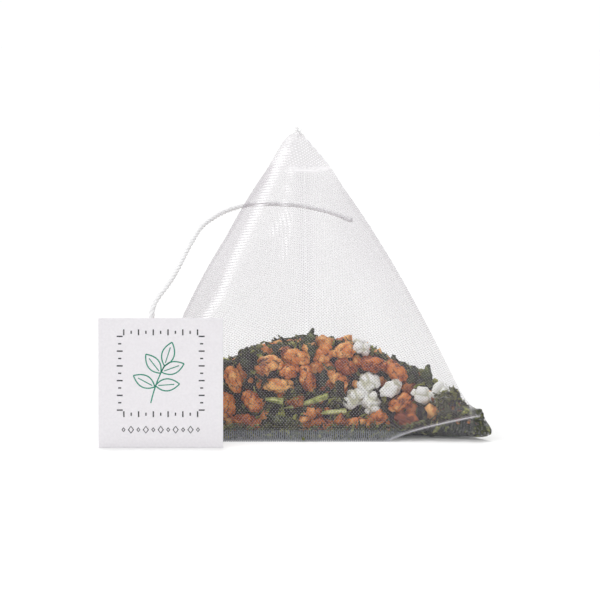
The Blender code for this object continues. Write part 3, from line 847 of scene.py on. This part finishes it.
def low_wall(point):
    """The low edge of the front, and what hangs below the lifted right end of the front seal."""
    if point.y > -INRADIUS + 3 * MM:
        return 0
    edge = max(1.7 * MM, corner_lift(point.x, 0) - 0.2 * MM if point.x > 0 else 0)
    most = 1 - 0.6 * smooth_step(point.x, 13 * MM, 18 * MM)
    return most * (1 - smooth_step(point.z, edge - 0.3 * MM, edge + 0.5 * MM))


def corner_dust(point):
    return smooth_step(point.x, 25.5 * MM, 27.5 * MM) * (1 - smooth_step(point.z, 5.2 * MM, 6.5 * MM))


def add_cut_edge(material):
    """Loose thread ends that stand out of the cut edge at the apex."""
    rng = random.Random(31)
    bm = bmesh.new()
    tip = lean(APEX)
    for _ in range(THREAD_ENDS):
        down = rng.uniform(0, 2.4) * MM
        root = lean(APEX - SEAL_AXIS * down) + Vector((rng.uniform(-0.2, 0.2) * MM, 0, 0))
        root.z = min(root.z, tip.z - 0.1 * MM)
        way = Vector((rng.uniform(-1, 1), rng.uniform(-0.6, 0.2), rng.uniform(0.1, 1.0))).normalized()
        end = root + way * (rng.uniform(0.3, 0.75) * MM)
        bend = Vector((rng.uniform(-1, 1), 0, rng.uniform(-1, 0.2))) * 0.12 * MM
        add_tube(bm, [root, root.lerp(end, 0.5) + bend, end], [0.045 * MM, 0.04 * MM, 0.03 * MM], 5)
    add_piece("cut_edge_threads", finish_mesh("cut_edge_threads", bm), material)


# The tea


@contextmanager
def opened(mesh):
    """A mesh's points and faces, put back into it once they are changed."""
    bm = bmesh.new()
    bm.from_mesh(mesh)
    yield bm
    bm.to_mesh(mesh)
    bm.free()


def finer_copy(node, name, cuts):
    """A copy of a solid's mesh, with its loose triangles joined and then cut up along a smooth surface."""
    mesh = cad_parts[node].data.copy()
    mesh.name = name
    mesh.materials.clear()
    with opened(mesh) as bm:
        bmesh.ops.remove_doubles(bm, verts=bm.verts[:], dist=1e-6)
        for face in bm.faces:
            face.smooth = True
    with opened(mesh) as bm:
        bmesh.ops.subdivide_edges(bm, edges=bm.edges[:], cuts=cuts, use_grid_fill=True, smooth=0.6)
        bmesh.ops.recalc_face_normals(bm, faces=bm.faces[:])
    return mesh


def push_out(mesh, depth, swells):
    """Moves each point of a mesh along its normal, by depth times its swell."""
    moved = [vertex.co + vertex.normal * depth * swell for vertex, swell in zip(mesh.vertices, swells)]
    for vertex, place in zip(mesh.vertices, moved):
        vertex.co = place
    mesh.update()


def roughen(mesh, scale, depth, seed):
    """Roughens a mesh by noise of two sizes."""
    shift = Vector((seed * 0.37, seed * 0.71, seed * 0.13))
    places = [vertex.co * scale + shift for vertex in mesh.vertices]
    push_out(mesh, depth, [noise.noise(at) + 0.5 * noise.noise(at * 2.3) for at in places])


def crack(mesh, scale, depth, seed):
    """Raises rounded lobes with cracks between them, and keeps the relief for the painted shade in the
    cracks.
    """
    shift = Vector((seed * 0.61, seed * 0.29, seed * 0.83))
    relief = []
    for vertex in mesh.vertices:
        at = vertex.co * scale + shift
        at += noise.noise_vector(at * 1.7) * 0.25
        distances, _ = noise.voronoi(at)
        lobe = min(1, (distances[1] - distances[0]) / 0.45)
        relief.append(lobe * (2 - lobe))
    push_out(mesh, depth, [lobe - 0.6 for lobe in relief])
    keep_value(mesh, "relief", relief)


def held_inside(point, film, gap):
    """The point, or the nearest one that lies a gap inside the film."""
    place, normal, _, _ = film.find_nearest(point)
    if (point - place).dot(normal) > -gap:
        return place - normal * gap
    return point


def add_heap(material, film):
    """The heap's skin. Low down it is fine tea that has run into the corners and lies on the film."""
    mesh = finer_copy("leaf_bed", "tea_heap", 1)
    roughen(mesh, 900, 0.18 * MM, 3)
    for vertex in mesh.vertices:
        low = min(1, max(0, (DUST_TOP - vertex.co.z) / (0.4 * DUST_TOP)))
        past = abs(vertex.co.x) - CORNER_FROM
        if past > 0:
            vertex.co.x = math.copysign(CORNER_FROM + past * (1 + (CORNER_STRETCH - 1) * low), vertex.co.x)
        place, _, _, distance = film.find_nearest(vertex.co)
        if distance < 1.6 * MM:
            vertex.co = vertex.co.lerp(place, low * max(0, 1 - HEAP_GAP / distance))
        vertex.co = held_inside(vertex.co, film, HEAP_GAP)
    mesh.update()
    add_piece("tea_heap", mesh, material, "leaf_bed")
    return mesh


def nodes_of(kind):
    return sorted(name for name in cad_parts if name.startswith(kind))


def add_grains(kind, ending, material, film, cuts, swell, scale, depth, rough=1.0):
    """Finer stand-ins for one kind of solid: each grown a little about its middle, cracked and roughened."""
    for number, node in enumerate(nodes_of(kind)):
        mesh = finer_copy(node, node + ending, cuts)
        middle = sum((vertex.co for vertex in mesh.vertices), Vector()) / len(mesh.vertices)
        for vertex in mesh.vertices:
            vertex.co = middle + (vertex.co - middle) * swell
        mesh.update()
        crack(mesh, scale, depth, number)
        roughen(mesh, 1500, 0.16 * MM * rough, number)
        roughen(mesh, 4200, 0.05 * MM * rough, number + 50)
        for vertex in mesh.vertices:
            vertex.co = held_inside(vertex.co, film, FROM_FILM)
        mesh.update()
        tint = random.Random(number + 200).random()
        keep_value(mesh, "tint", [tint] * len(mesh.vertices))
        add_piece(node + ending, mesh, material, node)


def long_axis(mesh):
    """A slim piece's two ends, along the way that its points spread most."""
    points = np.array([vertex.co[:] for vertex in mesh.vertices])
    middle = points.mean(axis=0)
    way = np.linalg.svd(points - middle)[2][0]
    along = (points - middle) @ way
    return Vector(middle + way * along.min()), Vector(middle + way * along.max())


def add_tea_stems(material):
    """Split pieces of stem: a bent, ribbed tube that tapers to a point."""
    steps, sides = 18, 14
    for number, node in enumerate(nodes_of("tea_stem")):
        rng = random.Random(number + 70)
        start, end = sorted(long_axis(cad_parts[node].data), key=lambda point: point.x)
        bend = Vector((rng.uniform(-1, 1), 0, rng.uniform(-1, 1))) * 0.25 * MM
        centres, radii = [], []
        for step in range(steps + 1):
            share = step / steps
            centres.append(start.lerp(end, share) + bend * math.sin(math.pi * share))
            radii.append((0.14 + 0.42 * share**0.5) * MM * (0.75 if step == steps else 1))
        bm = bmesh.new()
        add_tube(bm, centres, radii, sides)
        mesh = finish_mesh(node + "_stem", bm)
        tints = []
        for index, vertex in enumerate(mesh.vertices):
            rib = noise.noise(Vector((index % sides * 0.9, number * 3.1, index // sides * 0.05)))
            vertex.co += vertex.normal * 0.07 * MM * rib
            tints.append(min(1, max(0, 0.5 + 1.3 * rib)))
        keep_value(mesh, "tint", tints)
        add_piece(node + "_stem", mesh, material, node)


def taken_shape(thing):
    """A thing's points and faces, taken out of the scene."""
    points = np.array([vertex.co[:] for vertex in thing.data.vertices])
    faces = [tuple(polygon.vertices) for polygon in thing.data.polygons]
    bpy.data.objects.remove(thing)
    return points, faces


def leaf_template(length, width, twist, bend, wrinkle, seed):
    """One dried leaf, modelled flat along X and then twisted, bent and given its thickness."""
    bpy.ops.mesh.primitive_grid_add(x_subdivisions=7, y_subdivisions=2, size=1)
    leaf = bpy.context.object
    bpy.ops.object.mode_set(mode="EDIT")
    bpy.ops.transform.resize(value=(length, width, 1))
    bpy.ops.object.mode_set(mode="OBJECT")
    rng = random.Random(seed)
    for vertex in leaf.data.vertices:
        share = 2 * vertex.co.x / length
        vertex.co.y *= max(0.12, (1 - share**4)) * rng.uniform(0.75, 1.15)
        vertex.co.z += wrinkle * rng.uniform(-1, 1)
    for method, angle in (("TWIST", twist), ("BEND", bend)):
        deform = leaf.modifiers.new(method, "SIMPLE_DEFORM")
        deform.deform_method = method
        deform.angle = math.radians(angle)
        deform.deform_axis = "X" if method == "TWIST" else "Y"
        bpy.ops.object.modifier_apply(modifier=deform.name)
    thick = leaf.modifiers.new("thickness", "SOLIDIFY")
    thick.thickness = 0.12 * MM
    bpy.ops.object.modifier_apply(modifier=thick.name)
    return taken_shape(leaf)


def crumb_template(size, cuts, seed):
    """One rough crumb."""
    bpy.ops.mesh.primitive_ico_sphere_add(subdivisions=cuts, radius=size / 2)
    crumb = bpy.context.object
    shift = Vector((seed * 1.7, seed * 0.9, seed * 2.3))
    for vertex in crumb.data.vertices:
        way = vertex.co.normalized()
        vertex.co *= 0.95 + 0.55 * noise.noise(way * 1.6 + shift)
    return taken_shape(crumb)


def leaf_shapes(rng, first_seed, count, lengths, widths, twists, bends, wrinkle):
    """Dried leaves of one kind, with lengths, widths and wrinkles in millimetres, and turns in degrees."""
    shapes = []
    for seed in range(first_seed, first_seed + count):
        length, width = rng.uniform(*lengths) * MM, rng.uniform(*widths) * MM
        twist, bend = rng.uniform(*twists), rng.uniform(*bends)
        shapes.append(leaf_template(length, width, twist, bend, wrinkle * MM, seed))
    return shapes


def join_copies(name, copies, material):
    """One piece of many placed copies of small shapes, each with its own tint."""
    points, faces, tints = [], [], []
    count = 0
    for (shape_points, shape_faces), matrix, tint in copies:
        rotation = np.array(matrix.to_3x3())
        placed = shape_points @ rotation.T + np.array(matrix.translation)
        placed[:, 2] = np.maximum(placed[:, 2], FROM_FILM / 2)
        points.append(placed)
        faces += [tuple(index + count for index in face) for face in shape_faces]
        tints += [tint] * len(shape_points)
        count += len(shape_points)
    mesh = bpy.data.meshes.new(name)
    mesh.from_pydata(np.concatenate(points).tolist(), [], faces)
    keep_value(mesh, "tint", tints)
    mesh.shade_smooth()
    add_piece(name, mesh, material, "leaf_bed")


def bed_places(rng, heap, count, lowest=0.5 * MM):
    """Random places on a skin, each with the way that the skin faces."""
    heap.calc_loop_triangles()
    kept = []
    for triangle in heap.loop_triangles:
        corners = [heap.vertices[index].co.copy() for index in triangle.vertices]
        if sum(corner.z for corner in corners) > 3 * lowest:
            kept.append((corners, triangle.area, triangle.normal.copy()))
    weights = [area for _, area, _ in kept]
    while True:
        for corners, _, normal in rng.choices(kept, weights, k=count):
            a, b = rng.random(), rng.random()
            if a + b > 1:
                a, b = 1 - a, 1 - b
            yield corners[0] + (corners[1] - corners[0]) * a + (corners[2] - corners[0]) * b, normal


def lies_inside(film, shape_points, matrix):
    for point in shape_points:
        at = matrix @ Vector(point)
        place, normal, _, _ = film.find_nearest(at)
        if at.z < 0 or (at - place).dot(normal) > -FROM_FILM:
            return False
    return True


def scatter(rng, film, heap, count, templates, spread, scales, lifts, near=(), near_reach=0.0):
    """Copies of small shapes laid on the heap's skin, inside the film."""
    copies = []
    for place, normal in bed_places(rng, heap, count):
        if near and min((place - middle).length for middle in near) > near_reach and rng.random() > 0.25:
            continue
        jitter = Vector((rng.gauss(0, 1), rng.gauss(0, 1), rng.gauss(0, 1))) * spread
        lie = (normal + jitter).normalized().to_track_quat("Z", "Y").to_matrix()
        turn = lie @ Matrix.Rotation(rng.uniform(0, 2 * math.pi), 3, "Z")
        shape = rng.choice(templates)
        centre = place + normal * rng.uniform(*lifts)
        matrix = Matrix.Translation(centre) @ turn.to_4x4() @ Matrix.Scale(rng.uniform(*scales), 4)
        if lies_inside(film, shape[0][::3], matrix):
            copies.append((shape, matrix, rng.random()))
        if len(copies) == count:
            return copies


def dust_places(rng, film_mesh, count, deepest):
    """Places just inside the film, low along the front edge and in the right corner."""
    while True:
        for place, normal in bed_places(rng, film_mesh, count, 0):
            along_front = place.y < -INRADIUS + EDGE_DUST_REACH and place.z < EDGE_DUST_TOP
            in_corner = place.x > CORNER_DUST_FROM and place.z < CORNER_DUST_TOP
            if along_front or in_corner:
                yield place - normal * (FROM_FILM + rng.random() * deepest), -normal


def add_dust(rng, film, film_mesh, crumbs, splinters, material, name, count):
    """Fine tea that lies against the film, where the heap ends."""
    copies = []
    for place, normal in dust_places(rng, film_mesh, 4000, DUST_DEPTH):
        spin = Matrix.Rotation(rng.uniform(0, 2 * math.pi), 3, "Z")
        turn = normal.to_track_quat("Z", "Y").to_matrix() @ spin
        shape = rng.choice(splinters if rng.random() < 0.3 else crumbs)
        matrix = Matrix.Translation(place) @ turn.to_4x4() @ Matrix.Scale(rng.uniform(0.35, 0.95), 4)
        if lies_inside(film, shape[0][::3], matrix):
            copies.append((shape, matrix, rng.random()))
        if len(copies) == count:
            break
    join_copies(name, copies, material)


def add_loose_tea(leaf_dark, leaf_olive, rice, film, film_mesh, heap):
    rng = random.Random(11)
    needles = leaf_shapes(rng, 0, 10, (2.2, 4.6), (0.4, 0.8), (120, 420), (-60, 60), 0.06)
    flakes = leaf_shapes(rng, 20, 8, (1.4, 2.8), (0.8, 1.4), (-90, 90), (-80, 80), 0.1)
    crumbs = [crumb_template(rng.uniform(0.5, 1.0) * MM, 1, seed) for seed in range(6)]
    bits = [crumb_template(rng.uniform(1.5, 2.6) * MM, 2, seed + 40) for seed in range(8)]
    strips = leaf_shapes(rng, 60, 8, (4.0, 7.0), (0.7, 1.2), (-140, 140), (-50, 50), 0.1)
    grains = [
        sum((Vector(corner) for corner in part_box(node)), Vector()) / 2 for node in nodes_of("roasted_rice")
    ]
    # Each piece's layers: how many shapes, their spread, their scales and their lifts in millimetres
    layered = (
        (
            "leaves_dark", leaf_dark,
            ((1300, needles, 0.22, (0.6, 1.1), (-0.1, 0.45)), (110, strips, 0.12, (0.7, 1.0), (0.1, 0.6))),
        ),
        (
            "leaves_small", leaf_dark,
            ((900, flakes, 0.3, (0.5, 1.1), (-0.1, 0.4)), (1300, crumbs, 1.0, (0.5, 1.2), (-0.1, 0.3))),
        ),
        (
            "leaves_olive", leaf_olive,
            (
                (360, needles, 0.22, (0.5, 0.9), (0, 0.45)),
                (360, flakes, 0.3, (0.35, 0.8), (0, 0.45)),
                (80, strips, 0.12, (0.4, 0.8), (0.2, 0.7)),
            ),
        ),
    )
    for name, material, layers in layered:
        copies = []
        for count, shapes, spread, scales, lifts in layers:
            copies += scatter(rng, film, heap, count, shapes, spread, scales, [lift * MM for lift in lifts])
        join_copies(name, copies, material)
    add_dust(rng, film, film_mesh, crumbs, needles, leaf_dark, "dust_dark", DUST_DARK)
    add_dust(rng, film, film_mesh, crumbs, needles, leaf_olive, "dust_olive", DUST_OLIVE)
    lifts = (-0.3 * MM, 0.3 * MM)
    orange = scatter(rng, film, heap, RICE_PIECES, bits, 1.0, (0.6, 1.15), lifts, grains, RICE_REACH)
    join_copies("rice_pieces", orange, rice)


# The tag and its print


def tag_place():
    """The tag's middle and lean: its lower front edge lies on the table."""
    stand = Matrix.Translation((TAG_MIDDLE_X, TAG_FRONT_Y, 0)) @ Matrix.Rotation(-TAG_LEAN, 4, "X")
    lift = TAG_THICKNESS * math.sin(TAG_LEAN)
    return Matrix.Translation((0, 0, lift)) @ stand


def add_tag(material):
    bpy.ops.mesh.primitive_cube_add(size=1, location=(0, 0, 0))
    tag = bpy.context.object
    tag.name = "tag_card"
    bpy.ops.object.mode_set(mode="EDIT")
    bpy.ops.transform.resize(value=(TAG_WIDTH, TAG_THICKNESS, TAG_HEIGHT))
    bpy.ops.transform.translate(value=(0, TAG_THICKNESS / 2, TAG_HEIGHT / 2))
    bpy.ops.mesh.bevel(offset=0.05 * MM, segments=2)
    bpy.ops.object.mode_set(mode="OBJECT")
    tag.data.transform(tag_place())
    tag.data.materials.append(material)
    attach(tag, "root")
    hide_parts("tag")


def ink_line(bm, points, width, closed=False):
    """A printed line on the tag's front, through (x, height) points in millimetres, with round joints."""
    points = [Vector(point) for point in points]
    count = len(points)
    edges = []
    for index, point in enumerate(points):
        before = points[index - 1] if closed or index else point
        after = points[(index + 1) % count] if closed or index < count - 1 else point
        ahead = (after - before).normalized()
        off = Vector((-ahead.y, ahead.x)) * width / 2
        edges.append((point + off, point - off))
    rings = []
    for left, right in edges:
        corners = ((left, INK_SINK), (left, -INK_RAISE), (right, -INK_RAISE), (right, INK_SINK))
        places = [tag_place() @ (Vector((flat.x, depth, flat.y)) * MM) for flat, depth in corners]
        rings.append([bm.verts.new(place) for place in places])
    skin_rings(bm, rings, closed)


def curve_points(start, bend, end, count=12):
    """Points along a smooth bow from start to end, pulled towards bend."""
    start, bend, end = Vector(start), Vector(bend), Vector(end)
    shares = [step / count for step in range(count + 1)]
    return [start * (1 - t) ** 2 + bend * 2 * t * (1 - t) + end * t * t for t in shares]


def add_leaf_print(material):
    """A sprig of five leaves in thin green lines."""
    bm = bmesh.new()
    width = 0.2
    stalk = curve_points((-1.6, 7.2), (-0.9, 10.4), (0.6, 13.2), 14)
    ink_line(bm, stalk, width)
    # Each leaf is its foot, its length in millimetres, and the way that it points in degrees
    leaves = (
        ((0.6, 13.2), 4.0, 72), ((0.1, 12.2), 3.9, 20), ((0.0, 12.0), 3.9, 128),
        ((-0.85, 10.0), 3.9, 4), ((-0.95, 9.8), 3.9, 152),
    )
    for foot, length, way in leaves:
        foot = Vector(foot)
        ahead = Vector((math.cos(math.radians(way)), math.sin(math.radians(way))))
        aside = Vector((-ahead.y, ahead.x))
        tip = foot + ahead * length
        for side in (-1, 1):
            belly = foot + ahead * length * 0.45 + aside * side * length * 0.5
            ink_line(bm, curve_points(foot, belly, tip), width)
        ink_line(bm, [foot + ahead * length * 0.12, foot + ahead * length * 0.78], width * 0.8)
    add_piece("leaf_print", finish_mesh("leaf_print", bm, smooth=False), material)


def add_frame_print(material):
    """A frame of short dashes round the sprig, and a row of small lozenges below it."""
    bm = bmesh.new()
    half, middle = 6.6, 12.0
    dashes = 11
    for side in range(4):
        turn = math.radians(90 * side)
        across = Vector((math.cos(turn), math.sin(turn)))
        out = Vector((-across.y, across.x))
        for index in range(dashes):
            share = (index - (dashes - 1) / 2) / (dashes - 1) * 2
            place = Vector((0, middle)) + out * half + across * (half * 0.9 * share)
            tall = 0.95 if index % 2 == 0 else 0.5
            ink_line(bm, [place - out * tall / 2, place + out * tall / 2], 0.22)
    for index in range(-5, 6):
        middle_x = index * 1.2
        size = 0.42 if index % 2 == 0 else 0.24
        corners = ((-size, 0), (0, size * 1.3), (size, 0), (0, -size * 1.3))
        ink_line(bm, [(middle_x + x, 2.9 + z) for x, z in corners], 0.17, closed=True)
    add_piece("frame_print", finish_mesh("frame_print", bm, smooth=False), material)


def main():
    add_camera()
    string = string_material()
    add_string(string)
    add_studio()
    film_mesh, film = add_mesh_bag(mesh_material(weave_group()))
    add_cut_edge(string)
    mottle = mottle_group()
    tea = {name: mottled_material(mottle, name) for name in MOTTLED}
    heap = add_heap(tea["leaf_dark"], film)
    add_grains("roasted_rice", "_grain", tea["roasted_rice"], film, 3, 1.16, 720, 0.42 * MM)
    add_grains("popped_rice", "_puff", tea["popped_rice"], film, 4, 1.35, 310, 0.7 * MM, 0.7)
    add_grains("leaf_flake", "_leaf", tea["leaf_flake"], film, 3, 1.12, 900, 0.2 * MM)
    add_tea_stems(tea["tea_stem"])
    add_loose_tea(tea["leaf_dark"], tea["leaf_olive"], tea["roasted_rice_bits"], film, film_mesh, heap)
    add_tag(paper_material())
    add_leaf_print(ink_material("green_ink", (0.004, 0.27, 0.17)))
    add_frame_print(ink_material("charcoal_ink", (0.035, 0.035, 0.04)))


main()
